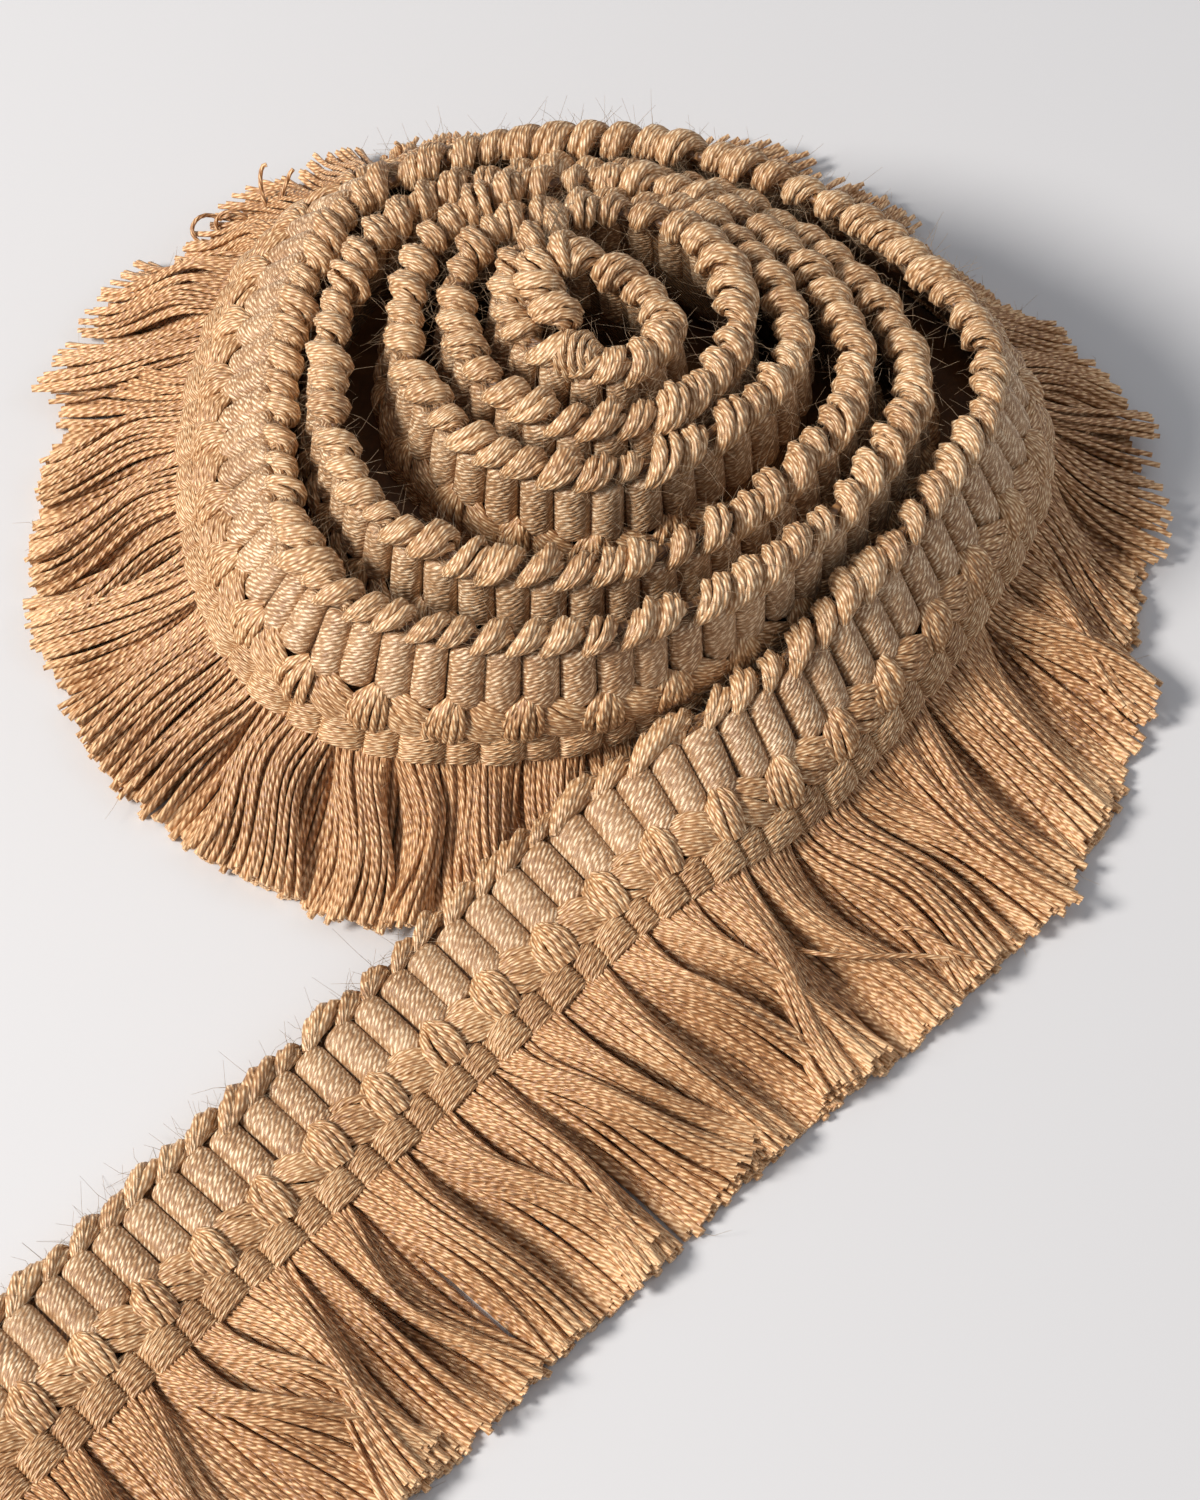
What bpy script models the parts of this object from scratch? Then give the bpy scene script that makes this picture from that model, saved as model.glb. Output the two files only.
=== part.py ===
"""A length of brush fringe trim wound into a low domed roll, its loose end running out flat.

The trim is a woven heading with a looped edge, barrel ribs and a fringe of cut yarn. It is wound
on its fringe, looped edge up, counter-clockwise from the loose end inwards.

Units are metres and +Z is up. The origin is the middle of the roll's flat foot, and the loose
end runs out along -X.
"""

import math
from collections import namedtuple

import bmesh
import bpy
import numpy as np
from mathutils import Vector

MM = 0.001

# The woven heading.
HEADING_WIDTH = 17.6 * MM  # from the looped edge's middle to the fringe's root
HEADING_HALF = 1.7 * MM  # half its thickness
EDGE_THIN = 0.2 * MM  # how much thinner its face is at the fringe's root
RIB_PITCH = 4.2 * MM
RIB_RISE = 0.5 * MM  # how far a rib stands over the plain band
RIB_DIP = 0.5 * MM  # how deep the groove between two ribs is
RIB_SHARE = 0.5  # the ribs' length as a share of the heading's width
LOOP_PEAK = 2.0 * MM  # how far an edge loop stands past the edge's middle
LOOP_VALLEY = 0.7 * MM  # the same between two loops
LOOP_SHOULDER = 0.6 * MM  # where the loops go over into the band

# The wound form.
FOOT_RADIUS = 36.0 * MM  # the flat spot that the roll rests on
INNER_WIDTH = 9.0 * MM  # how much of an inner turn's heading stands out of the wound body
INNER_LEAN = 8.0  # degrees that the inner turns lean outwards
CROWN_START = 26.5 * MM  # looped edge's height where the second turn starts
CROWN_RISE = 1.9 * MM  # what each further turn stands higher
CROWN_TOP = 35.0 * MM
BODY_DEPTH = 7.0 * MM  # the wound body's surface below the looped edges
BODY_BEARINGS = 36
BODY_READINGS = 400  # places where the outer turn is read for the body's outline
SKIRT_DROP = 1.0 * MM  # the body's widest place below the heading's lower edge
SKIRT_LOWEST = 2.0 * MM
CROWN_SHARES = (0.7, 0.42, 0.16)  # the crown's rings as shares of the shoulder's radius
CROWN_CURVE = 1.5  # how late the crown rises towards the middle

# The fringe.
STRIP_GAP = 0.3 * MM  # between the heading's edge and the strip that carries the fringe
STRIP_WIDTH = 1.6 * MM
STRIP_HALF = 1.0 * MM  # half its thickness
LOCK_PITCH = 2.8 * MM  # one lock of yarn
LOCK_HALF = 0.9 * MM  # half a lock's thickness
LOCK_SHARE = 0.7  # a lock's width as a share of its place
LOCK_STEPS = (0.18, 0.42, 0.72, 1.0)  # where a lock's sections lie along its run
LOCK_FALL = 1.7  # how soon a lock comes down to the table
LOCK_FLARE = 0.04  # how much wider a lock is at its cut end
LOCK_WAVE = 0.5 * MM  # sideways wave of the locks
WAVE_LENGTH = 86.0 * MM  # along the trim, from one wave to the next
WAVE_LAG = 3.0  # radians that a lock's cut end is behind its root in the wave
LOCK_UNEVEN = 1.2 * MM  # how uneven the cut ends are
UNEVEN_RATES = (7.0, 3.1)  # two uneven rhythms of the cut ends in one wave
FLOOR_GAP = 0.02 * MM  # under the locks' ends

NODE_GAP = 0.3 * MM  # between the loose end and the roll
CUT_ALONG = -24.0 * MM  # where the loose end's node meets the roll's

# The looped edge's course from the loose end's cut until it stands up against the roll.
# Columns: along X, across Y and the edge's height in mm, how far the band leans from upright and
# how far the fringe turns from square, in degrees, and the fringe's run over the table in mm.
Place = namedtuple("Place", "along across top lean sweep run")
LEAD = (
    Place(-150.0, -30.6, 1.7, 90, 0, 28),
    Place(-110.0, -30.5, 1.7, 90, 2, 28),
    Place(-90.0, -30.2, 1.8, 90, 2, 28),
    Place(-70.0, -30.2, 2.7, 89, 3, 28),
    Place(-52.0, -30.6, 5.0, 88, 4, 27.5),
    Place(-37.0, -31.6, 8.0, 86, 8, 27),
    Place(-23.0, -34.8, 12.8, 72, 13, 26.5),
    Place(-13.0, -37.8, 15.6, 51, 11, 26.5),
    Place(-1.2, -39.2, 19.8, 38, 2, 26),
    Place(11.4, -38.6, 22.6, 32, -6, 25),
)

# The looped edge's radius in mm in each turn, at eight bearings from 315 degrees on.
BEARING_START = 315
BEARING_STEP = 45
TURNS = (
    (45.5, 37.3, 35.7, 40.0, 36.2, 41.0, 36.2, 33.6),
    (36.6, 31.4, 31.4, 33.2, 31.0, 32.2, 28.7, 27.0),
    (30.0, 27.2, 27.2, 26.0, 21.5, 18.4, 17.4, 17.4),
    (22.5, 23.0, 23.0, 20.4, 14.9, 12.0, 11.4, 12.9),
    (15.7, 18.8, 18.7, 13.8, 8.2, 4.6, 5.0, 6.3),
    (8.0, 7.3, 8.8),
)
# How much lower a turn lies at one of its bearings, counted from the outer turn and from 0.
SUNK = {(1, 1): 1.3 * MM, (1, 2): 2.2 * MM, (1, 3): 1.3 * MM, (3, 2): 2.3 * MM}

# The outer turn, which shows its whole heading and its fringe, at the same eight bearings.
# Columns: the edge's height in mm, lean and sweep in degrees, and the fringe's run in mm.
Outer = namedtuple("Outer", "top lean sweep run")
OUTER = (
    Outer(25.5, 27, -30, 15),
    Outer(26.0, 25, -28, 14),
    Outer(25.5, 30, -5, 11),
    Outer(23.5, 42, 5, 12),
    Outer(22.0, 46, 10, 19),
    Outer(24.0, 33, 10, 17),
    Outer(26.0, 11, 5, 18),
    Outer(26.5, 2, 0, 18),
)
FRINGE_END = 222  # bearing where the outer turn's fringe goes under the loose end

HEADING_COLOUR = (0.392, 0.235, 0.130)
FRINGE_COLOUR = (0.445, 0.262, 0.140)
YARN_ROUGHNESS = 0.85


def clear_scene():
    for obj in list(bpy.data.objects):
        bpy.data.objects.remove(obj, do_unlink=True)


def collection(name):
    made = bpy.data.collections.new(name)
    bpy.context.scene.collection.children.link(made)
    return made


def yarn_material(name, colour):
    made = bpy.data.materials.new(name)
    made.use_nodes = True
    shader = made.node_tree.nodes["Principled BSDF"]
    shader.inputs["Base Color"].default_value = (*colour, 1.0)
    shader.inputs["Roughness"].default_value = YARN_ROUGHNESS
    shader.inputs["Metallic"].default_value = 0.0
    return made


def course_rows():
    """Every row of the course in metres: x, y, top, lean, sweep, run, and the band's width."""
    rows = [
        (p.along * MM, p.across * MM, p.top * MM, p.lean, p.sweep, p.run * MM, HEADING_WIDTH)
        for p in LEAD
    ]
    for turn, radii in enumerate(TURNS):
        for step, radius in enumerate(radii):
            bearing = math.radians(BEARING_START + step * BEARING_STEP)
            x = radius * MM * math.cos(bearing)
            y = radius * MM * math.sin(bearing)
            if turn == 0:
                o = OUTER[step]
                rows.append((x, y, o.top * MM, o.lean, o.sweep, o.run * MM, HEADING_WIDTH))
            else:
                wound = turn - 1 + step / len(TURNS[0])
                top = min(CROWN_TOP, CROWN_START + CROWN_RISE * wound) - SUNK.get((turn, step), 0.0)
                rows.append((x, y, top, INNER_LEAN, 0.0, 0.0, INNER_WIDTH))
    return np.array(rows)


def smooth(rows, fine=24):
    """A smooth course through the rows, with even weight on every column."""
    chord = np.r_[0.0, np.cumsum(np.hypot(np.diff(rows[:, 0]), np.diff(rows[:, 1])))]
    slope = np.gradient(rows, chord, axis=0)
    out = []
    for i in range(len(rows) - 1):
        span = chord[i + 1] - chord[i]
        for t in np.linspace(0.0, 1.0, fine, endpoint=False):
            a = 2 * t**3 - 3 * t**2 + 1
            b = t**3 - 2 * t**2 + t
            c = 3 * t**2 - 2 * t**3
            d = t**3 - t**2
            out.append(a * rows[i] + b * span * slope[i] + c * rows[i + 1] + d * span * slope[i + 1])
    out.append(rows[-1])
    return np.array(out)


class Course:
    """The trim's course, read by the length run along its looped edge."""

    def __init__(self):
        self.rows = smooth(course_rows())
        self.rows[:, 3] = np.minimum(self.rows[:, 3], 90.0)
        flat = HEADING_HALF + HEADING_WIDTH * np.cos(np.radians(self.rows[:, 3]))
        self.rows[:, 2] = np.maximum(self.rows[:, 2], flat)
        steps = np.hypot(np.diff(self.rows[:, 0]), np.diff(self.rows[:, 1]))
        self.length = np.r_[0.0, np.cumsum(steps)]
        self.slopes = np.gradient(self.rows[:, :2], self.length, axis=0)
        self.total = self.length[-1]

    def at(self, run):
        """Edge point, down-the-band direction, face direction, outward, along and the row."""
        row = np.array([np.interp(run, self.length, column) for column in self.rows.T])
        tangent = np.array([np.interp(run, self.length, column) for column in self.slopes.T])
        tangent /= np.hypot(*tangent)
        outward = Vector((tangent[1], -tangent[0], 0.0))
        along = Vector((tangent[0], tangent[1], 0.0))
        lean = math.radians(row[3])
        down = outward * math.sin(lean) + Vector((0, 0, -math.cos(lean)))
        face = outward * math.cos(lean) + Vector((0, 0, math.sin(lean)))
        return Vector(row[:3]), down, face, outward, along, row

    def along_run(self, along):
        """The length at which the loose end reaches a place along X."""
        return float(self.length[np.argmax(self.rows[:, 0] >= along)])

    def bearing_run(self, bearing):
        """The length at which the outer turn passes a bearing, from -90 to 270 degrees."""
        angle = np.degrees(np.unwrap(np.arctan2(self.rows[:, 1], self.rows[:, 0])))
        front = np.argmax(self.rows[:, 0] >= 0.0)
        return float(np.interp(bearing, angle - angle[front] - 90.0, self.length))


def sweep_mesh(name, sections):
    """A closed bar through sections of equal point counts, capped at both ends."""
    bm = bmesh.new()
    rings = [[bm.verts.new(p) for p in section] for section in sections]
    for ring, after in zip(rings, rings[1:]):
        for k in range(len(ring)):
            n = (k + 1) % len(ring)
            bm.faces.new((ring[k], ring[n], after[n], after[k]))
    bm.faces.new(rings[0])
    bm.faces.new(list(reversed(rings[-1])))
    bmesh.ops.recalc_face_normals(bm, faces=bm.faces)
    bmesh.ops.triangulate(bm, faces=bm.faces)
    mesh = bpy.data.meshes.new(name)
    bm.to_mesh(mesh)
    bm.free()
    return mesh


def heading_section(course, run, crest):
    """The band's outline at one place, on a rib's crest or in the groove beside it."""
    point, down, face, _, _, row = course.at(run)
    width = row[6]
    rib_end = width * RIB_SHARE
    rise = HEADING_HALF + RIB_RISE if crest else HEADING_HALF - RIB_DIP
    loop = LOOP_PEAK if crest else LOOP_VALLEY
    outline = (
        (-loop, 0.0),
        (LOOP_SHOULDER, rise),
        (rib_end, rise),
        (width, HEADING_HALF - EDGE_THIN),
        (width, -HEADING_HALF),
        (LOOP_SHOULDER, -HEADING_HALF),
    )
    return [point + down * a + face * b for a, b in outline]


def heading_sections(course, start, end):
    half = RIB_PITCH / 2
    count = max(2, round((end - start) / half))
    return [
        heading_section(course, start + (end - start) * i / count, i % 2 == 1)
        for i in range(count + 1)
    ]


def body_mesh(course):
    """The wound body under the looped edges: a low dome on a flat foot."""
    bm = bmesh.new()
    rings = []
    by_bearing = []
    for run in np.linspace(course.bearing_run(-90.0), course.bearing_run(270.0), BODY_READINGS):
        point, down, *_ = course.at(run)
        root = point + down * HEADING_WIDTH
        by_bearing.append((math.atan2(point.y, point.x), math.hypot(point.x, point.y),
                           math.hypot(root.x, root.y), point.z, root.z))
    table = np.array(sorted(by_bearing))
    for k in range(BODY_BEARINGS):
        angle = -math.pi + math.tau * k / BODY_BEARINGS
        top_r, root_r, top_z, root_z = (
            float(np.interp(angle, table[:, 0], table[:, c], period=math.tau)) for c in (1, 2, 3, 4)
        )
        skirt = root_r - 2 * HEADING_HALF - STRIP_HALF
        shoulder = top_r - HEADING_HALF / 2
        profile = [(FOOT_RADIUS, 0.0), (skirt, max(root_z - SKIRT_DROP, SKIRT_LOWEST)),
                   (shoulder, top_z - BODY_DEPTH)]
        for share in CROWN_SHARES:
            crown = CROWN_TOP - (CROWN_TOP - top_z) * share**CROWN_CURVE
            profile.append((shoulder * share, crown - BODY_DEPTH))
        rings.append([
            bm.verts.new((r * math.cos(angle), r * math.sin(angle), z)) for r, z in profile
        ])
    for k, ring in enumerate(rings):
        after = rings[(k + 1) % BODY_BEARINGS]
        for j in range(len(ring) - 1):
            bm.faces.new((ring[j], after[j], after[j + 1], ring[j + 1]))
    bm.faces.new([ring[0] for ring in rings])
    bm.faces.new([ring[-1] for ring in rings])
    bmesh.ops.recalc_face_normals(bm, faces=bm.faces)
    bmesh.ops.triangulate(bm, faces=bm.faces)
    mesh = bpy.data.meshes.new("wound_body")
    bm.to_mesh(mesh)
    bm.free()
    return mesh


def lock_path(course, run):
    """A lock's middle points: from its root in the strip down to its cut end on the table."""
    point, down, _, outward, along, row = course.at(run)
    turn = math.radians(row[4])
    heading = outward * math.cos(turn) + along * math.sin(turn)
    root = point + down * (HEADING_WIDTH + STRIP_GAP + STRIP_WIDTH)
    phase = math.tau * run / WAVE_LENGTH
    quick, slow = UNEVEN_RATES
    reach = row[5] + LOCK_UNEVEN * math.sin(quick * phase) * math.cos(slow * phase)
    rest = LOCK_HALF + FLOOR_GAP
    points = []
    for t in LOCK_STEPS:
        side = LOCK_WAVE * math.sin(phase + WAVE_LAG * t) * t
        middle = root + heading * (reach * t) + along * side
        middle.z = rest + (root.z - rest) * (1.0 - t) ** LOCK_FALL
        points.append(middle)
    return points, heading


def fringe_mesh(name, course, start, end):
    """A narrow strip along the heading's edge with a lock of yarn drawn out of each place."""
    count = round((end - start) / LOCK_PITCH)
    bm = bmesh.new()
    rings = []
    for i in range(count + 1):
        point, down, face, _, _, _ = course.at(start + (end - start) * i / count)
        near = HEADING_WIDTH + STRIP_GAP
        far = near + STRIP_WIDTH
        corners = ((near, STRIP_HALF), (far, STRIP_HALF), (far, -STRIP_HALF), (near, -STRIP_HALF))
        rings.append([bm.verts.new(point + down * a + face * b) for a, b in corners])
    fronts = []
    for ring, after in zip(rings, rings[1:]):
        for k in range(4):
            n = (k + 1) % 4
            made = bm.faces.new((ring[k], ring[n], after[n], after[k]))
            if k == 1:
                fronts.append(made)
    bm.faces.new(rings[0])
    bm.faces.new(list(reversed(rings[-1])))
    bmesh.ops.recalc_face_normals(bm, faces=bm.faces)
    for i, front in enumerate(fronts):
        run = start + (end - start) * (i + 0.5) / count
        points, heading = lock_path(course, run)
        across = Vector((-heading.y, heading.x, 0.0))
        place = (end - start) / count
        face = front
        for t, middle in zip(LOCK_STEPS, points):
            grown = bmesh.ops.extrude_discrete_faces(bm, faces=[face])
            face = grown["faces"][0]
            low = sorted(face.verts, key=lambda v: v.co.z)[:2]
            spread = place * LOCK_SHARE * (0.5 + LOCK_FLARE * t)
            for v in face.verts:
                side = 1.0 if (v.co - middle).dot(across) > 0 else -1.0
                up = -1.0 if v in low else 1.0
                v.co = middle + across * (side * spread) + Vector((0, 0, up * LOCK_HALF))
    bmesh.ops.triangulate(bm, faces=bm.faces)
    mesh = bpy.data.meshes.new(name)
    bm.to_mesh(mesh)
    bm.free()
    return mesh


def add_object(name, mesh, where, material=None):
    made = bpy.data.objects.new(name, mesh)
    where.objects.link(made)
    if material:
        mesh.materials.append(material)
    return made


def join_solid(target, tool):
    """Fuses one closed solid into another."""
    fuse = target.modifiers.new(tool.name, "BOOLEAN")
    fuse.operation = "UNION"
    fuse.solver = "EXACT"
    fuse.object = tool
    tool.hide_render = True
    tool.display_type = "WIRE"


def main():
    clear_scene()
    trim = collection("fringe_trim")
    guides = collection("guides")
    heading = yarn_material("woven_heading", HEADING_COLOUR)
    yarn = yarn_material("cut_yarn", FRINGE_COLOUR)
    course = Course()
    cut = course.along_run(CUT_ALONG)
    fringe_end = course.bearing_run(FRINGE_END)

    roll = add_object("roll", body_mesh(course), trim, heading)
    turns = sweep_mesh("wound_turns", heading_sections(course, cut + NODE_GAP, course.total))
    join_solid(roll, add_object("wound_turns", turns, guides))

    tail = sweep_mesh("tail_heading", heading_sections(course, 0.0, cut))
    add_object("tail_heading", tail, trim, heading)
    add_object("roll_fringe", fringe_mesh("roll_fringe", course, cut + NODE_GAP, fringe_end),
               trim, yarn)
    add_object("tail_fringe", fringe_mesh("tail_fringe", course, 0.0, cut), trim, yarn)


main()
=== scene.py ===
"""The looks of a wound length of brush fringe trim: its yarns, ribs, loops, stitches and fuzz.

The heading is laid out flat first, as it comes off the loom, and then wrapped onto its course.
On the flat trim u runs along the band, v down it from the looped edge to the fringe, and w out of
its face. These, and the courses, are in millimetres; meshes are in metres.
"""

import math
from collections import namedtuple

import bmesh
import bpy
import numpy as np
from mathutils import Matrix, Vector


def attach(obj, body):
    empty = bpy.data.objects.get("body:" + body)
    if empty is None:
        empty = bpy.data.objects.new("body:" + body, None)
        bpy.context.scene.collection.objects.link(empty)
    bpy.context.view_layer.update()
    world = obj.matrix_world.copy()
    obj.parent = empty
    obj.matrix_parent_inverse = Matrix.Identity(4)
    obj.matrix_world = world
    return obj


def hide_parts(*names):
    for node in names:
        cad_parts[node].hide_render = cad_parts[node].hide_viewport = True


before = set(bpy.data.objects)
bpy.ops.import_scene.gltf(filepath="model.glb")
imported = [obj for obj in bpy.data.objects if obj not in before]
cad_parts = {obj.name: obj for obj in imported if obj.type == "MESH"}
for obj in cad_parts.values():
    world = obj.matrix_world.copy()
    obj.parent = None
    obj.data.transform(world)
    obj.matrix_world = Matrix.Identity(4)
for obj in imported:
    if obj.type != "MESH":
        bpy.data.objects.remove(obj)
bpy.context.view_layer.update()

MM = 0.001
TAU = 2.0 * math.pi

# The woven heading, as in the part's source.
HEADING_WIDTH = 17.6
HEADING_HALF = 1.7
RIB_PITCH = 4.2

# The looped edge's course, as in the part's source: where it lies and how high, how far the band
# leans from upright and the fringe turns from square in degrees, and the fringe's run in mm.
Place = namedtuple("Place", "along across top lean sweep run")
LEAD = (
    Place(-150.0, -30.6, 1.7, 90, 0, 28),
    Place(-110.0, -30.5, 1.7, 90, 2, 28),
    Place(-90.0, -30.2, 1.8, 90, 2, 28),
    Place(-70.0, -30.2, 2.7, 89, 3, 28),
    Place(-52.0, -30.6, 5.0, 88, 4, 27.5),
    Place(-37.0, -31.6, 8.0, 86, 8, 27),
    Place(-23.0, -34.8, 12.8, 72, 13, 26.5),
    Place(-13.0, -37.8, 15.6, 51, 11, 26.5),
    Place(-1.2, -39.2, 19.8, 38, 2, 26),
    Place(11.4, -38.6, 22.6, 32, -6, 25),
)
BEARING_START = 315
BEARING_STEP = 45
TURNS = (
    (45.5, 37.3, 35.7, 40.0, 36.2, 41.0, 36.2, 33.6),
    (36.6, 31.4, 31.4, 33.2, 31.0, 32.2, 28.7, 27.0),
    (30.0, 27.2, 27.2, 26.0, 21.5, 18.4, 17.4, 17.4),
    (22.5, 23.0, 23.0, 20.4, 14.9, 12.0, 11.4, 12.9),
    (15.7, 18.8, 18.7, 13.8, 8.2, 4.6, 5.0, 6.3),
    (8.0, 7.3, 8.8),
)
SUNK = {(1, 1): 1.3, (1, 2): 2.2, (1, 3): 1.3, (3, 2): 2.3}  # mm that a turn dips at a bearing
Outer = namedtuple("Outer", "top lean sweep run")
OUTER = (
    Outer(25.5, 27, -30, 15),
    Outer(26.0, 25, -28, 14),
    Outer(25.5, 30, -5, 11),
    Outer(23.5, 42, 5, 12),
    Outer(22.0, 46, 10, 19),
    Outer(24.0, 33, 10, 17),
    Outer(26.0, 11, 5, 18),
    Outer(26.5, 2, 0, 18),
)
INNER_LEAN = 8.0
CROWN_START = 26.5
CROWN_RISE = 1.9
CROWN_TOP = 35.0
INNER_END = ((4.1, 10.4), (1.2, 10.3), (-1.0, 8.2), (-2.0, 5.0))  # the last tight curl, X and Y
CUT_ALONG = -24.0  # where the loose end's node meets the roll's
FRINGE_END = 236  # bearing where the outer turn's fringe goes under the loose end
FOOT_RADIUS = 36.0

FLOOR_GAP = 0.03  # under whatever lies on the table


def course_rows():
    """Every row of the course: x, y, top, lean, sweep and run."""
    rows = [(p.along, p.across, p.top, p.lean, p.sweep, p.run) for p in LEAD]
    for turn, radii in enumerate(TURNS):
        for step, radius in enumerate(radii):
            bearing = math.radians(BEARING_START + step * BEARING_STEP)
            place = (radius * math.cos(bearing), radius * math.sin(bearing))
            if turn == 0:
                o = OUTER[step]
                rows.append((*place, o.top, o.lean, o.sweep, o.run))
            else:
                wound = turn - 1 + step / len(TURNS[0])
                top = min(CROWN_TOP, CROWN_START + CROWN_RISE * wound)
                top -= SUNK.get((turn, step), 0.0)
                rows.append((*place, top, INNER_LEAN, 0.0, 0.0))
    rows += [(x, y, CROWN_TOP, INNER_LEAN, 0.0, 0.0) for x, y in INNER_END]
    return np.array(rows)


def smooth(rows, fine=24):
    """A smooth course through the rows."""
    chord = np.r_[0.0, np.cumsum(np.hypot(np.diff(rows[:, 0]), np.diff(rows[:, 1])))]
    slope = np.gradient(rows, chord, axis=0)
    out = []
    for i in range(len(rows) - 1):
        span = chord[i + 1] - chord[i]
        for t in np.linspace(0.0, 1.0, fine, endpoint=False):
            a = 2 * t**3 - 3 * t**2 + 1
            b = t**3 - 2 * t**2 + t
            c = 3 * t**2 - 2 * t**3
            d = t**3 - t**2
            out.append(
                a * rows[i] + b * span * slope[i] + c * rows[i + 1] + d * span * slope[i + 1]
            )
    out.append(rows[-1])
    return np.array(out)


class Course:
    """The trim's course, read by the length run along the middle of its heading."""

    def __init__(self):
        rows = smooth(course_rows())
        rows[:, 3] = np.minimum(rows[:, 3], 90.0)
        stands = HEADING_HALF + HEADING_WIDTH * np.cos(np.radians(rows[:, 3]))
        rows[:, 2] = np.maximum(rows[:, 2], stands)
        run = np.r_[0.0, np.cumsum(np.hypot(np.diff(rows[:, 0]), np.diff(rows[:, 1])))]
        ahead = np.gradient(rows[:, :2], run, axis=0)
        ahead /= np.linalg.norm(ahead, axis=1, keepdims=True)
        lean = np.radians(rows[:, 3:4])
        level = np.zeros((len(rows), 1))
        self.outward = np.c_[ahead[:, 1], -ahead[:, 0], level]
        self.along = np.c_[ahead, level]
        up = np.array([0.0, 0.0, 1.0])
        self.edge = rows[:, :3]
        self.down = self.outward * np.sin(lean) - up * np.cos(lean)
        self.face = self.outward * np.cos(lean) + up * np.sin(lean)
        self.sweep = rows[:, 4]
        self.reach = rows[:, 5]
        middle = self.edge + self.down * HEADING_WIDTH / 2
        self.length = np.r_[0.0, np.cumsum(np.linalg.norm(np.diff(middle, axis=0), axis=1))]
        self.total = self.length[-1]

    def read(self, values, u):
        """Any of the course's columns at the places u, which may run off either end."""
        u = np.asarray(u, float)
        if values.ndim == 1:
            return np.interp(u, self.length, values)
        return np.stack([np.interp(u, self.length, column) for column in values.T], axis=-1)

    def wrap(self, flat):
        """Points of the flat trim, as u, v and w, on the course."""
        flat = np.asarray(flat, float)
        u, v, w = flat[..., 0], flat[..., 1:2], flat[..., 2:3]
        beyond = u - np.clip(u, 0.0, self.total)
        return (
            self.read(self.edge, u)
            + self.read(self.along, u) * beyond[..., None]
            + self.read(self.down, u) * v
            + self.read(self.face, u) * w
        )

    def at_along(self, along):
        """The run at which the loose end reaches a place along X."""
        return float(self.length[np.argmax(self.edge[:, 0] >= along)])

    def at_bearing(self, bearing, turn=0):
        """The run at which a turn passes a bearing, from -90 degrees to 270 for the outer one."""
        angle = np.degrees(np.unwrap(np.arctan2(self.edge[:, 1], self.edge[:, 0])))
        front = np.argmax(self.edge[:, 0] >= 0.0)
        return float(np.interp(bearing + 360 * turn, angle - angle[front] - 90.0, self.length))


def shade_curve(rng, places, spacing, spread=1.0):
    """Smooth random values along a row of places, with a new one every so many places."""
    knots = np.arange(0, len(places) / spacing + 3)
    values = rng.normal(0.0, spread, len(knots))
    t = np.arange(len(places)) / spacing
    i = t.astype(int)
    f = t - i
    f = f * f * (3 - 2 * f)
    return values[i] * (1 - f) + values[i + 1] * f


# Colour and nodes.


def linear(code):
    """An sRGB hex colour as linear RGBA."""
    parts = [int(code[i : i + 2], 16) / 255 for i in (1, 3, 5)]
    return (*[c / 12.92 if c <= 0.04045 else ((c + 0.055) / 1.055) ** 2.4 for c in parts], 1.0)


def add(tree, kind, *terms, named=None, **settings):
    """One node. Each term is a socket to link or a value to set, in the order of its inputs.

    A node given as a term stands for its first output; inputs out of order are named.
    """
    node = tree.nodes.new(kind)
    for name, value in settings.items():
        setattr(node, name, value)
    for key, term in [*enumerate(terms), *(named or {}).items()]:
        if isinstance(term, bpy.types.Node):
            term = term.outputs[0]
        if isinstance(term, bpy.types.NodeSocket):
            tree.links.new(term, node.inputs[key])
        elif term is not None:
            node.inputs[key].default_value = term
    return node


# Yarn's own sizes in mm.
# The strands round a yarn, from one to the next along it, and from one painted highlight, a bright
# # dash, to the next.
Twist = namedtuple("Twist", "plies pitch dash")
RIB_TWIST = Twist(2, 1.0, 1.4)
LOOP_TWIST = Twist(8, 1.25, 1.25)
STITCH_TWIST = Twist(6, 1.2, 1.3)
FRINGE_TWIST = Twist(4, 1.3, 1.5)
PLY_DEPTH = 0.07
SLIP = 2.4  # how far apart the twist runs tighter and slacker
SLIP_TURN = 6.0  # radians
FIBRE_PITCH = 0.12  # coarser than real fibres, which are too fine to show
MOTTLE = 7.0  # patches of paler and browner yarn along the trim
SHADE_TURN = 37.0  # radians; sets each yarn's twist apart from the next one's
FIBRE_HEIGHT = 0.35  # the fibres' relief as a share of the strands'
# What each part of the pattern adds to the tone, which runs from 0, dark, to 1, light.
TONE_START = -0.27
FIBRE_TONE = 0.3
MOTTLE_TONE = 0.5
SHADE_TONE = 0.22
PAINTED_PLY_TONE = 0.18
PAINTED_GLINT_TONE = 0.68
PAINTED_END_LIGHT = 0.3


def crest(tree, turn):
    """From 1 down to 0 and back with each full turn."""
    wave = add(tree, "ShaderNodeMath", turn, operation="COSINE")
    return add(tree, "ShaderNodeMath", wave, 0.5, 0.5, operation="MULTIPLY_ADD")


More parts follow.
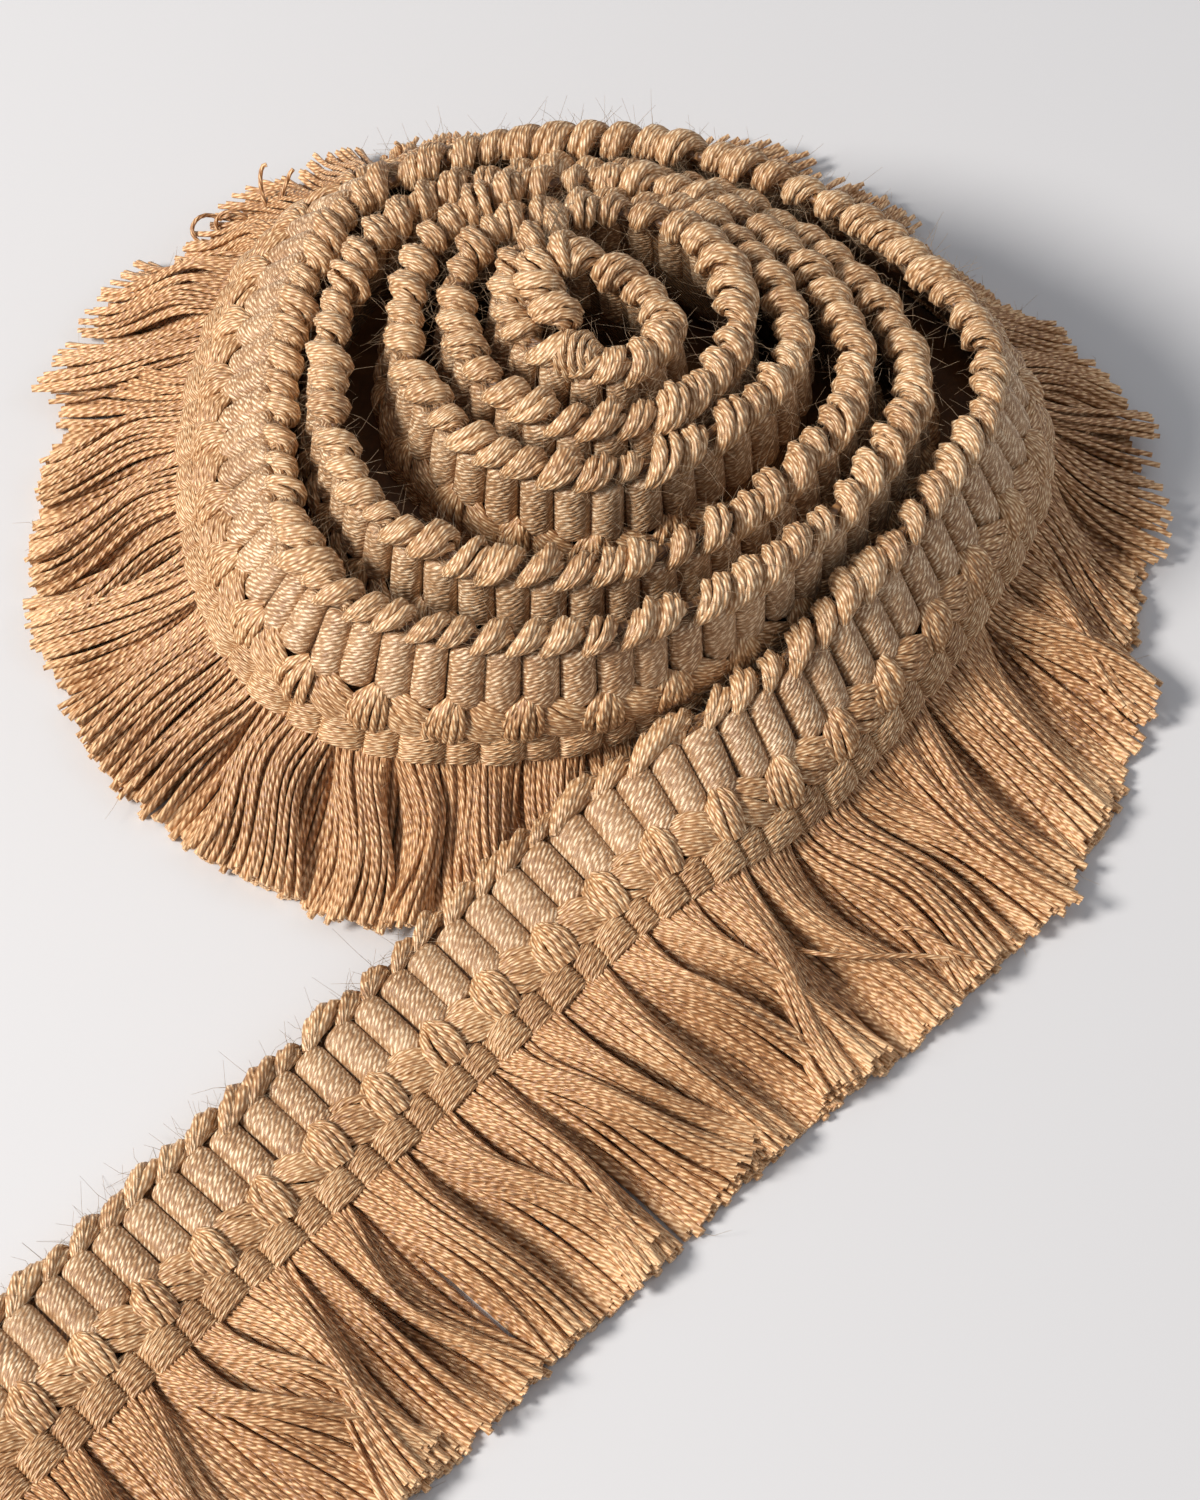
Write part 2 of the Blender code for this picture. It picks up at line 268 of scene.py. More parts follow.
def yarn_material(name, colours, twisted, from_threads=False):
    """Plied viscose yarn: soft sheen, painted highlights as bright dashes on its strands, and
    painted shade, brown, where strands meet.

    Its pattern follows the attribute lay: mm along the yarn, the yarn's shade from 0 to 1, which in
    places holds painted shade and painted light, and how near its cut end is. On ribs the threads
    lie side by side and lay's middle value counts them instead; elsewhere the attribute around
    holds the place round the yarn.
    """
    material = bpy.data.materials.new(name)
    material.use_nodes = True
    tree = material.node_tree
    tree.nodes.clear()
    lay = add(tree, "ShaderNodeAttribute", attribute_name="lay")
    along, own, end = add(tree, "ShaderNodeSeparateXYZ", lay.outputs["Vector"]).outputs
    place = add(tree, "ShaderNodeTexCoord").outputs["Object"]
    if from_threads:
        index = add(tree, "ShaderNodeMath", own, operation="ROUND")
        across = add(tree, "ShaderNodeMath", own, index, operation="SUBTRACT")
        turned = add(tree, "ShaderNodeMath", across, math.pi, operation="MULTIPLY")
        both = add(tree, "ShaderNodeCombineXYZ", index, end)
        shade = add(tree, "ShaderNodeTexWhiteNoise", both, noise_dimensions="3D")
    else:
        around = add(tree, "ShaderNodeAttribute", attribute_name="around")
        x, y, _ = add(tree, "ShaderNodeSeparateXYZ", around.outputs["Vector"]).outputs
        turned = add(tree, "ShaderNodeMath", y, x, operation="ARCTAN2")
        shade = own
    slip = add(tree, "ShaderNodeTexNoise", place, named={"Scale": 1.0 / (SLIP * MM), "Detail": 1.0})
    twist = add(tree, "ShaderNodeMath", along, TAU / twisted.pitch, operation="MULTIPLY")
    twist = add(tree, "ShaderNodeMath", turned, twisted.plies, twist, operation="MULTIPLY_ADD")
    twist = add(tree, "ShaderNodeMath", shade, SHADE_TURN, twist, operation="MULTIPLY_ADD")
    twist = add(tree, "ShaderNodeMath", slip, SLIP_TURN, twist, operation="MULTIPLY_ADD")
    ply = crest(tree, twist)
    # Painted highlights: each strand of the twist gets short bright dashes of its own in its colour.
    strand = add(tree, "ShaderNodeMath", twist, 1.0 / TAU, operation="MULTIPLY")
    strand = add(tree, "ShaderNodeMath", strand, operation="ROUND")
    strand = add(tree, "ShaderNodeCombineXYZ", strand, shade)
    phase = add(tree, "ShaderNodeTexWhiteNoise", strand, noise_dimensions="3D")
    dash = add(tree, "ShaderNodeMath", along, 1.0 / twisted.dash, phase, operation="MULTIPLY_ADD")
    dash = crest(tree, add(tree, "ShaderNodeMath", dash, TAU, operation="MULTIPLY"))
    painted_glint = add(tree, "ShaderNodeMath", dash, ply, operation="MULTIPLY")

    size = {"Scale": 0.5 / (FIBRE_PITCH * MM), "Detail": 2.0, "Roughness": 0.6}
    fibre = add(tree, "ShaderNodeTexNoise", place, named=size)
    size = {"Scale": 1.0 / (MOTTLE * MM), "Detail": 2.0}
    mottle = add(tree, "ShaderNodeTexNoise", place, named=size)

    # Painted shade, browner, in the furrows between strands and painted highlights, paler, on their
    #     # crests; tones also differ by yarn and by patch.
    tone = TONE_START
    parts = [(fibre, FIBRE_TONE), (mottle, MOTTLE_TONE), (shade, SHADE_TONE), (ply, PAINTED_PLY_TONE)]
    parts.append((painted_glint, PAINTED_GLINT_TONE))
    if not from_threads:
        parts.append((end, PAINTED_END_LIGHT))
    for part, share in parts:
        tone = add(tree, "ShaderNodeMath", part, share, tone, operation="MULTIPLY_ADD")
    ramp = add(tree, "ShaderNodeValToRGB", tone)
    ramp.color_ramp.elements.new(0.5)
    for element, colour in zip(ramp.color_ramp.elements, colours):
        element.color = linear(colour)

    height = add(tree, "ShaderNodeMath", fibre, FIBRE_HEIGHT, ply, operation="MULTIPLY_ADD")
    relief = {"Height": height, "Strength": 1.0, "Distance": PLY_DEPTH * MM}
    bump = add(tree, "ShaderNodeBump", named=relief)
    shader = add(
        tree, "ShaderNodeBsdfPrincipled", ramp,
        named={"Normal": bump, "Roughness": 0.48, "IOR": 1.53, "Sheen Weight": 0.22,
               "Sheen Roughness": 0.45, "Sheen Tint": linear("#f2d9b8")},
    )
    add(tree, "ShaderNodeOutputMaterial", shader)
    return material


# Meshes.


def plain_mesh(source, name):
    """The evaluated object as a plain mesh object, with its modifiers gone."""
    graph = bpy.context.evaluated_depsgraph_get()
    mesh = bpy.data.meshes.new_from_object(
        source.evaluated_get(graph), preserve_all_data_layers=True, depsgraph=graph
    )
    mesh.name = name
    made = bpy.data.objects.new(name, mesh)
    bpy.context.scene.collection.objects.link(made)
    old = source.data
    bpy.data.objects.remove(source)
    bpy.data.meshes.remove(old)
    return made


def run_tree(source, tree, name, **values):
    """The plain mesh that a node tree makes of an object; inputs are set by their identifiers."""
    modifier = source.modifiers.new(tree.name, "NODES")
    modifier.node_group = tree
    for item in tree.interface.items_tree:
        if item.item_type == "SOCKET" and item.in_out == "INPUT" and item.name in values:
            modifier[item.identifier] = values[item.name]
    return plain_mesh(source, name)


def new_tree(name, **inputs):
    """An empty Geometry Nodes tree with named inputs, and its group input node."""
    tree = bpy.data.node_groups.new(name, "GeometryNodeTree")
    tree.interface.new_socket("Geometry", in_out="INPUT", socket_type="NodeSocketGeometry")
    for key, kind in inputs.items():
        tree.interface.new_socket(key, in_out="INPUT", socket_type="NodeSocket" + kind)
    tree.interface.new_socket("Geometry", in_out="OUTPUT", socket_type="NodeSocketGeometry")
    return tree, tree.nodes.new("NodeGroupInput")


def close_tree(tree, geometry, finish):
    """Smooth the surface, make it real and give it its finish."""
    smoothed = add(tree, "GeometryNodeSetShadeSmooth", geometry)
    real = add(tree, "GeometryNodeRealizeInstances", smoothed)
    done = add(tree, "GeometryNodeSetMaterial", real, named={"Material": finish})
    add(tree, "NodeGroupOutput", done)


def yarn_tree():
    """A round yarn along each path, as thick as the path's points say."""
    tree, given = new_tree("yarn along its path", Sides="Int", Finish="Material")
    path = add(tree, "GeometryNodeMeshToCurve", given.outputs["Geometry"])
    thick = add(tree, "GeometryNodeInputNamedAttribute", "thick", data_type="FLOAT")
    size = {"Resolution": given.outputs["Sides"], "Radius": 1.0}
    ring = add(tree, "GeometryNodeCurvePrimitiveCircle", named=size)
    place = add(tree, "GeometryNodeInputPosition")
    ring = add(
        tree, "GeometryNodeStoreNamedAttribute", ring, named={"Name": "around", "Value": place},
        data_type="FLOAT_VECTOR",
    )
    skin = add(
        tree, "GeometryNodeCurveToMesh", path, ring, named={"Scale": thick, "Fill Caps": True}
    )
    close_tree(tree, skin, given.outputs["Finish"])
    return tree


def repeat_tree():
    """One shape repeated along the band, each a little different."""
    tree, given = new_tree("ribs along the band", Shape="Object", Count="Int", Finish="Material")
    line = add(
        tree, "GeometryNodeMeshLine",
        named={"Count": given.outputs["Count"], "Offset": (RIB_PITCH * MM, 0, 0)},
    )
    shape = add(tree, "GeometryNodeObjectInfo", given.outputs["Shape"])
    turn = add(
        tree, "FunctionNodeRandomValue", (0, -RIB_TURN, -RIB_TURN), (0, RIB_TURN, RIB_TURN),
        named={"Seed": 1}, data_type="FLOAT_VECTOR",
    )
    size = add(
        tree, "FunctionNodeRandomValue", [1 - RIB_UNEVEN] * 3, [1 + RIB_UNEVEN] * 3,
        named={"Seed": 2}, data_type="FLOAT_VECTOR",
    )
    own = add(tree, "FunctionNodeRandomValue", named={"Seed": 3}, data_type="FLOAT")
    copies = add(
        tree, "GeometryNodeInstanceOnPoints", line,
        named={"Instance": shape.outputs["Geometry"], "Scale": size,
               "Rotation": add(tree, "FunctionNodeEulerToRotation", turn)},
    )
    marked = add(
        tree, "GeometryNodeStoreNamedAttribute", copies,
        named={"Name": "own", "Value": own.outputs[1]}, data_type="FLOAT", domain="INSTANCE",
    )
    close_tree(tree, marked, given.outputs["Finish"])
    return tree


def make_yarns(name, paths, thick, shade, finish, sides, tip=0.0):
    """Yarns along paths in mm, all of one point count, as one mesh.

    Each yarn has its shade, and each of its points a radius and how near its cut end it is.
    """
    paths = np.array(paths, float)
    count, points = paths.shape[:2]
    thick = np.broadcast_to(thick, (count, points))
    paths[..., 2] = np.maximum(paths[..., 2], thick + FLOOR_GAP)
    steps = np.linalg.norm(np.diff(paths, axis=1), axis=2)
    lay = np.zeros((count, points, 3))
    lay[:, 1:, 0] = np.cumsum(steps, axis=1)
    lay[..., 1] = np.broadcast_to(shade, count)[:, None]
    lay[..., 2] = np.broadcast_to(tip, (count, points))
    index = np.arange(count * points).reshape(count, points)
    edges = np.stack([index[:, :-1], index[:, 1:]], axis=-1).reshape(-1, 2)
    mesh = bpy.data.meshes.new(name + " paths")
    mesh.vertices.add(count * points)
    mesh.vertices.foreach_set("co", (paths * MM).ravel())
    mesh.edges.add(len(edges))
    mesh.edges.foreach_set("vertices", edges.ravel())
    mesh.attributes.new("thick", "FLOAT", "POINT").data.foreach_set("value", (thick * MM).ravel())
    mesh.attributes.new("lay", "FLOAT_VECTOR", "POINT").data.foreach_set("vector", lay.ravel())
    source = bpy.data.objects.new(name + " paths", mesh)
    bpy.context.scene.collection.objects.link(source)
    return run_tree(source, YARN_TREE, name, Sides=sides, Finish=finish)


def grid_faces(rows, columns):
    """Faces between rings of points, each ring closed."""
    faces = []
    for r in range(rows - 1):
        for c in range(columns):
            n = (c + 1) % columns
            faces.append((r * columns + c, r * columns + n, (r + 1) * columns + n,
                          (r + 1) * columns + c))
    return faces


def ring_solid(name, points, columns, finish=None):
    """A closed skin through rings of points in mm, capped at both ends."""
    rows = len(points) // columns
    faces = grid_faces(rows, columns)
    faces.append(tuple(reversed(range(columns))))
    faces.append(tuple(range((rows - 1) * columns, rows * columns)))
    mesh = bpy.data.meshes.new(name)
    mesh.from_pydata((np.asarray(points) * MM).tolist(), [], faces)
    mesh.polygons.foreach_set("use_smooth", [True] * len(mesh.polygons))
    bm = bmesh.new()
    bm.from_mesh(mesh)
    bmesh.ops.recalc_face_normals(bm, faces=bm.faces)
    bm.to_mesh(mesh)
    bm.free()
    if finish:
        mesh.materials.append(finish)
    made = bpy.data.objects.new(name, mesh)
    bpy.context.scene.collection.objects.link(made)
    return made


# The ribs: fine threads wound across each, so that it looks like a small barrel.
RIB_TOP = 1.5  # down the band, where the ribs start
RIB_FOOT = 9.9
RIB_HALF_LENGTH = 2.14  # half a rib's size along the band
RIB_FRONT = 1.85  # how far it stands out of the band's middle on the face
RIB_BACK = 1.25
RIB_SQUARE = 2.35  # how square a rib's section is; 2 would be round
RIB_TURN = math.radians(2.2)
RIB_UNEVEN = 0.05
RIB_SLANT = 0.07  # how far a thread climbs as it crosses the rib
THREADS = 16
THREAD_DEPTH = 0.09
RIB_AROUND = 10
RIB_END_ROUND = 9.0
RIB_END_THIN = 0.2
RIB_GROOVE_SIDE = 0.4  # how deep the grooves are on a rib's sides, as a share of its front


def squared(side):
    """A circle's sine or cosine, for a rounder or squarer section."""
    return np.copysign(np.abs(side) ** (2 / RIB_SQUARE), side)


def one_rib():
    """A rib at the origin, lying as on the flat trim, its threads side by side down its length."""
    angle = TAU * (np.arange(RIB_AROUND) + 0.5) / RIB_AROUND
    u = squared(np.cos(angle)) * RIB_HALF_LENGTH
    w = squared(np.sin(angle))
    w *= np.where(w > 0, RIB_FRONT, RIB_BACK)
    way = np.r_[0.0, np.cumsum(np.hypot(np.diff(u), np.diff(w)))]
    rings = 2 * THREADS + 1
    t = np.linspace(0.0, 1.0, rings)[:, None]
    groove = np.where(np.arange(rings) % 2 == 1, 0.0, THREAD_DEPTH / RIB_FRONT)[:, None]
    full = 1.0 - np.abs(2 * t - 1) ** RIB_END_ROUND * RIB_END_THIN
    v = RIB_TOP + (RIB_FOOT - RIB_TOP) * t - RIB_SLANT * u
    points = np.stack([u * (full - groove * RIB_GROOVE_SIDE), v, w * (full - groove)], axis=-1)
    lay = np.stack(np.broadcast_arrays(-way, THREADS * t - 0.5, 0.0), axis=-1)
    made = ring_solid("one rib", points.reshape(-1, 3), RIB_AROUND)
    made.data.attributes.new("lay", "FLOAT_VECTOR", "POINT").data.foreach_set("vector", lay.ravel())
    return made


def heading_ribs(course, count, finish):
    """The rib repeated along the flat band and wrapped onto the course with it."""
    shape = one_rib()
    line = bpy.data.objects.new("rib line", bpy.data.meshes.new("rib line"))
    bpy.context.scene.collection.objects.link(line)
    ribs = run_tree(line, REPEAT_TREE, "heading_ribs", Shape=shape, Count=count, Finish=finish)
    old = shape.data
    bpy.data.objects.remove(shape)
    bpy.data.meshes.remove(old)
    mesh = ribs.data
    vertices = len(mesh.vertices)
    flat, lay, own = np.empty(vertices * 3), np.empty(vertices * 3), np.empty(vertices)
    mesh.vertices.foreach_get("co", flat)
    mesh.attributes["lay"].data.foreach_get("vector", lay)
    mesh.attributes["own"].data.foreach_get("value", own)
    lay[2::3] = own
    mesh.attributes["lay"].data.foreach_set("vector", lay)
    flat = flat.reshape(-1, 3) / MM
    flat[:, 0] += RIB_PITCH / 2
    placed = course.wrap(flat)
    placed[:, 2] = np.maximum(placed[:, 2], FLOOR_GAP)
    mesh.vertices.foreach_set("co", (placed * MM).ravel())
    mesh.update()
    return ribs


# The looped edge: each rib's weft comes up out of the groove beside it as a bundle of yarns, swells
# as it slants over the edge and goes down the back. A bundle's way is from the rib's middle.
LoopKnot = namedtuple("LoopKnot", "u v w fat")
LOOP_WAY = (
    LoopKnot(0.6, 2.1, 1.1, 0.1),
    LoopKnot(1.7, 0.9, 1.2, 0.5),
    LoopKnot(2.9, 0.0, 0.8, 0.9),
    LoopKnot(3.7, -0.45, -0.2, 1.15),
    LoopKnot(4.1, 0.3, -0.8, 1.15),
    LoopKnot(4.0, 1.7, -0.6, 0.35),
)
LOOP_YARNS = 7
LOOP_FINE = 2  # points to a knot
LOOP_YARN = 0.64
LOOP_THIN = 0.4  # the yarns' radius where they come out of the groove
LOOP_PIVOT = (2.6, 0.4, 0.0)  # what a bundle grows about
BIG_LOOP = 1.4
FLAT_LOOP = (1.2, 0.75, 0.8)  # along, down and out: how the loose end's bundles are squashed
BIG_LOOPS_AT = (-87.8, -40.3, -27.1)  # knots on the loose end, along X
BIG_LOOP_SHARE = 0.05
BIGGER = 1.2  # how much bigger that share of the other knots are
LOOP_SIZE_SPREAD = 0.1
LOOP_START_SPREAD = (0.3, 0.22, 0.12)
LOOP_LEAN_SPREAD = 0.35  # mm that a bundle's end leans along the band
LOOP_TURN = 0.9  # radians that the yarns turn round their bundle
LOOP_TURN_SPREAD = 0.5
YARN_PLACE_SPREAD = 0.18  # radians round the bundle
YARN_OUT_SPREAD = 0.16  # share of the bundle's radius
YARN_THICK_SPREAD = 0.08
BUNDLE_SHADE = 0.35  # shades differ by this from bundle to bundle, and by the next in a bundle
BUNDLE_YARN_SHADE = 0.65
COIL_LOOPS = 9  # the last ones, in the tight curl, are fat
COIL_LOOP = 1.1


def loop_sizes(course, count, rng):
    """How big each rib's bundle is."""
    sizes = 1.0 + rng.normal(0, LOOP_SIZE_SPREAD, count)
    sizes[rng.random(count) < BIG_LOOP_SHARE] *= BIGGER
    for along in BIG_LOOPS_AT:
        sizes[int(course.at_along(along) / RIB_PITCH)] = BIG_LOOP
    sizes[-COIL_LOOPS:] *= COIL_LOOP
    return sizes


def edge_loops(sizes, flat_ones, rng):
    """Paths, radii and shades of the bundles' yarns on the flat trim, the first ones squashed."""
    way = smooth(np.array(LOOP_WAY), LOOP_FINE)
    ahead = np.gradient(way[:, :3], axis=0)
    inward = np.cross(ahead, (1.0, 0.0, 0.0))
    inward /= np.linalg.norm(inward, axis=1, keepdims=True)
    beside = np.cross(ahead, inward)
    beside /= np.linalg.norm(beside, axis=1, keepdims=True)
    t = np.linspace(0.0, 1.0, len(way))
    swell = np.clip(way[:, 3] / LOOP_YARN, 0, 1)
    paths, thick, shade = [], [], []
    for i, size in enumerate(sizes):
        start = rng.normal(0, LOOP_START_SPREAD) + ((i + 0.5) * RIB_PITCH, 0, 0)
        lean = rng.normal(0, LOOP_LEAN_SPREAD)
        twist = rng.normal(LOOP_TURN, LOOP_TURN_SPREAD)
        tone = rng.uniform(0, BUNDLE_SHADE)
        squash = FLAT_LOOP if i < flat_ones else (1.0, 1.0, 1.0)
        for turn in np.arange(LOOP_YARNS) * TAU / LOOP_YARNS:
            angle = turn + twist * t + rng.normal(0, YARN_PLACE_SPREAD)
            fat = (way[:, 3] * (1 + rng.normal(0, YARN_OUT_SPREAD)))[:, None]
            spoke = np.cos(angle)[:, None] * beside + np.sin(angle)[:, None] * inward
            yarn = way[:, :3] + fat * spoke
            yarn = LOOP_PIVOT + (yarn - LOOP_PIVOT) * size * squash
            yarn[:, 0] += lean * t
            paths.append(yarn + start)
            radius = LOOP_THIN + (LOOP_YARN - LOOP_THIN) * swell
            thick.append(radius * (1 + rng.normal(0, YARN_THICK_SPREAD)) * size**0.5)
            shade.append(np.clip(tone + rng.uniform(0.0, BUNDLE_YARN_SHADE), 0, 1))
    return np.array(paths), np.array(thick), np.array(shade)


# The leaf stitches over two ribs, as their first and last yarn: a proud one that fans out below
# the first rib, and one that slants under the next leaf. Points are u, v and w.
LEAF_PROUD = (
    ((-1.9, 8.7, 0.6), (-3.2, 9.9, 1.6), (-4.0, 11.3, 1.9), (-4.2, 12.9, 1.7), (-4.0, 14.2, 1.0)),
    ((-0.6, 8.7, 1.0), (-0.3, 10.0, 1.9), (-0.2, 11.3, 2.1), (-0.3, 12.9, 1.8), (-0.6, 14.3, 1.0)),
)
LEAF_UNDER = (
    ((-1.0, 10.6, 0.4), (-0.2, 12.2, 1.2), (1.0, 13.4, 1.4), (2.4, 14.2, 1.2), (3.6, 14.6, 0.6)),
    ((1.3, 8.8, 0.8), (2.8, 9.4, 1.7), (4.2, 10.3, 1.8), (5.4, 11.5, 1.4), (6.2, 12.7, 0.7)),
)
# The leaf that slants under the next one is given darker shades: painted shade.
LEAVES = ((LEAF_PROUD, 6, 0.25, 0.95), (LEAF_UNDER, 7, 0.0, 0.65))  # yarns, shade from and to
LEAF_BOW = 0.35  # mm that the middle yarns stand prouder
LEAF_YARN = 0.5
LEAF_SHIFT = (0.2, 0.15)  # mm that leaves are out of place along the band and down it
LEAF_LOOSE = 0.1  # mm that a leaf's yarns are out of place
LEAF_WAVY = 0.06


def leaf_stitches(count, rng):
    """Paths, radius and shades of the leaves' yarns on the flat trim."""
    paths, shade = [], []
    for i in range(0, count, 2):
        along = (i + 0.5) * RIB_PITCH + rng.normal(0, LEAF_SHIFT[0])
        shift = np.array([along, rng.normal(0, LEAF_SHIFT[1]), 0.0])
        for (first, last), yarns, low, high in LEAVES:
            share = np.linspace(0, 1, yarns)[:, None, None]
            made = np.array(first) * (1 - share) + np.array(last) * share + shift
            made[..., 2] += LEAF_BOW * (1 - (2 * share[..., 0] - 1) ** 2)
            made[..., 0] = np.maximum(made[..., 0], LEAF_YARN)
            loose = rng.normal(0, LEAF_LOOSE, (yarns, 1, 3))
            paths.append(made + loose + rng.normal(0, LEAF_WAVY, made.shape))
            shade.append(rng.uniform(low, high, yarns))
    return np.concatenate(paths), LEAF_YARN, np.concatenate(shade)


# The squares: threads along the band bind each rib's fringe, proud and wide at every other rib.
SQUARE_TOP = 13.7
SQUARE_FOOT = 17.5
SQUARE_THREADS = 8
SQUARE_YARN = 0.36
SQUARE_SIZES = ((1.85, 1.45), (2.5, 1.8))  # half length along the band and height, in turn
SQUARE_SEAM = 0.35  # height where two meet
SQUARE_POINTS = 7
SQUARE_SHIFT = 0.1
SQUARE_SLANT = -0.1  # mm that a thread runs down the band to each side of its middle
SQUARE_SLANT_SPREAD = 0.12
SQUARE_WAVY = 0.04
SQUARE_FALL = 0.3  # how much lower the first and last threads are than the middle ones
SQUARE_CROWN = (3.2, 0.6)  # how flat a thread is on top, and how round at its ends
SQUARE_SHADE = 0.25  # shades differ by this from square to square
PROUD_PAINTED_LIGHT = 0.3  # and every other, proud one is paler by this: painted light on it and painted shade on the sunken ones
SQUARE_THREAD_SHADE = 0.5


def square_stitches(count, rng):
    """Paths, radius and shades of the squares' threads on the flat trim."""
    t = np.linspace(-1, 1, SQUARE_POINTS)
    flat, ends = SQUARE_CROWN
    paths, shade = [], []
    for i in range(count):
        half, height = SQUARE_SIZES[i % 2]
        centre = (i + 0.5) * RIB_PITCH + rng.normal(0, SQUARE_SHIFT)
        slant = rng.normal(SQUARE_SLANT, SQUARE_SLANT_SPREAD)
        tone = rng.uniform(0.0, SQUARE_SHADE) + PROUD_PAINTED_LIGHT * (i % 2)
        for k in range(SQUARE_THREADS):
            place = k / (SQUARE_THREADS - 1)
            v = SQUARE_TOP + (SQUARE_FOOT - SQUARE_TOP) * place
            crown = 1 - SQUARE_FALL * (2 * place - 1) ** 2
            w = SQUARE_SEAM + (height * crown - SQUARE_SEAM) * (1 - np.abs(t) ** flat) ** ends
            wavy = rng.normal(0, SQUARE_WAVY, SQUARE_POINTS)
            paths.append(np.c_[centre + half * t, v + slant * t + wavy, w])
            shade.append(tone + rng.uniform(0, SQUARE_THREAD_SHADE))
    return np.array(paths), SQUARE_YARN, np.array(shade)


# The fringe, in layers from the table up: how many yarns to a rib, how high they lie, how thick
# they are and how far they follow their lock. A lock is a rib or two's yarns that draw together,
# swing and wave as one.
Layer = namedtuple("Layer", "yarns height thick follow")
FRINGE_LAYERS = (
    Layer(9, 0.0, 1.35, 0.0), Layer(7, 0.4, 1.15, 0.3), Layer(8, 0.9, 1.0, 0.75),
    Layer(8, 1.35, 0.95, 1.0),
)
FRINGE_YARN = 0.36
FRINGE_TOP = 16.6  # down the band, hidden under the squares
FRINGE_BACK = -0.9  # how far behind the band's middle the lowest layer starts
FRINGE_POINTS = 12
FRINGE_UNEVEN = 0.8  # mm that locks' cut ends differ by
LOCK_RIBS = 1.6
LOCK_DRAW = 0.48  # how far a lock draws together, as a share of its width
LOCK_SWING = 8.5  # degrees
LOCK_WAVE = 1.9  # mm
LOCK_LIFT = 1.5
LOCK_DOME = 2.3
LOCK_BOUND_SPREAD = 0.22  # share of a lock's width by which locks differ
LOCK_TOGETHER = 3  # locks that swing alike
LOCK_SWING_SHARES = (0.8, 0.5)  # of each lock's own swing and of the one it shares
LOCK_LIFT_SPREAD = 0.8
LOCK_WAVE_STEP = (0.4, 1.9)  # radians from one lock's wave to the next one's, least and most
LOCK_WAVE_RANGE = (0.3, 1.3)
LOCK_DRAW_RANGE = (0.6, 1.3)
LOCK_RISE = 0.6  # mm that tips stand off the table
LOCK_SHADE = 0.12
LOCK_WAVE_TURN = 4.2  # radians of a lock's wave from its root to its tip
LOCK_HUMP = (0.86, 0.8)  # where along its length a lock is fullest, and how broadly
YARN_WANDER = 0.34  # mm that a yarn strays from its lock sideways, and by the next in height
YARN_RISE = 0.2
YARN_WANDER_TURN = 5.0
YARN_RUN_SPREAD = 0.35
YARN_ROOT_SPREAD = 0.14
YARN_TURN_SPREAD = 1.0  # degrees
KNEE = 0.42  # a yarn's two bends, as shares of its length from its root and from its tip
FOOT = 0.45
FOOT_HEIGHT = 0.4
TIP_PRESSED = 0.7  # how much of a layer's height is left at the tips, and elsewhere at the least
LAYER_PRESSED = 0.5
FRINGE_SHADE = 0.7  # shades differ by this in a layer, and the top layer is paler by the next: painted shade on the layers beneath
FRINGE_TOP_PAINTED_LIGHT = 0.3
# How much of each a stretch of fringe has.
Style = namedtuple("Style", "wave swing lift draw")
TAIL_STYLE = Style(wave=1.3, swing=1.1, lift=1.3, draw=1.3)
ROLL_STYLE = Style(wave=1.0, swing=1.2, lift=0.8, draw=0.6)
# Locks that stand out: their place along X on the loose end or their bearing on the roll, their
# swing in degrees, and how much higher and longer they are in mm.
Lock = namedtuple("Lock", "place swing lift longer")
TAIL_LOCKS = (Lock(-61.4, 24, 2.6, 0),)
ROLL_LOCKS = (
    Lock(24, 8, 2.0, 2), Lock(96, -9, 3.0, 1), Lock(105, -5, 3.5, 3), Lock(114, 4, 1.5, 5),
    Lock(128, -4, 1.0, 1), Lock(148, 6, 1.5, 0),
)


def bezier(a, b, c, d, s):
    """Points at the shares s of a curve from a to d that b and c draw towards them."""
    return a * (1 - s) ** 3 + 3 * b * s * (1 - s) ** 2 + 3 * c * s**2 * (1 - s) + d * s**3


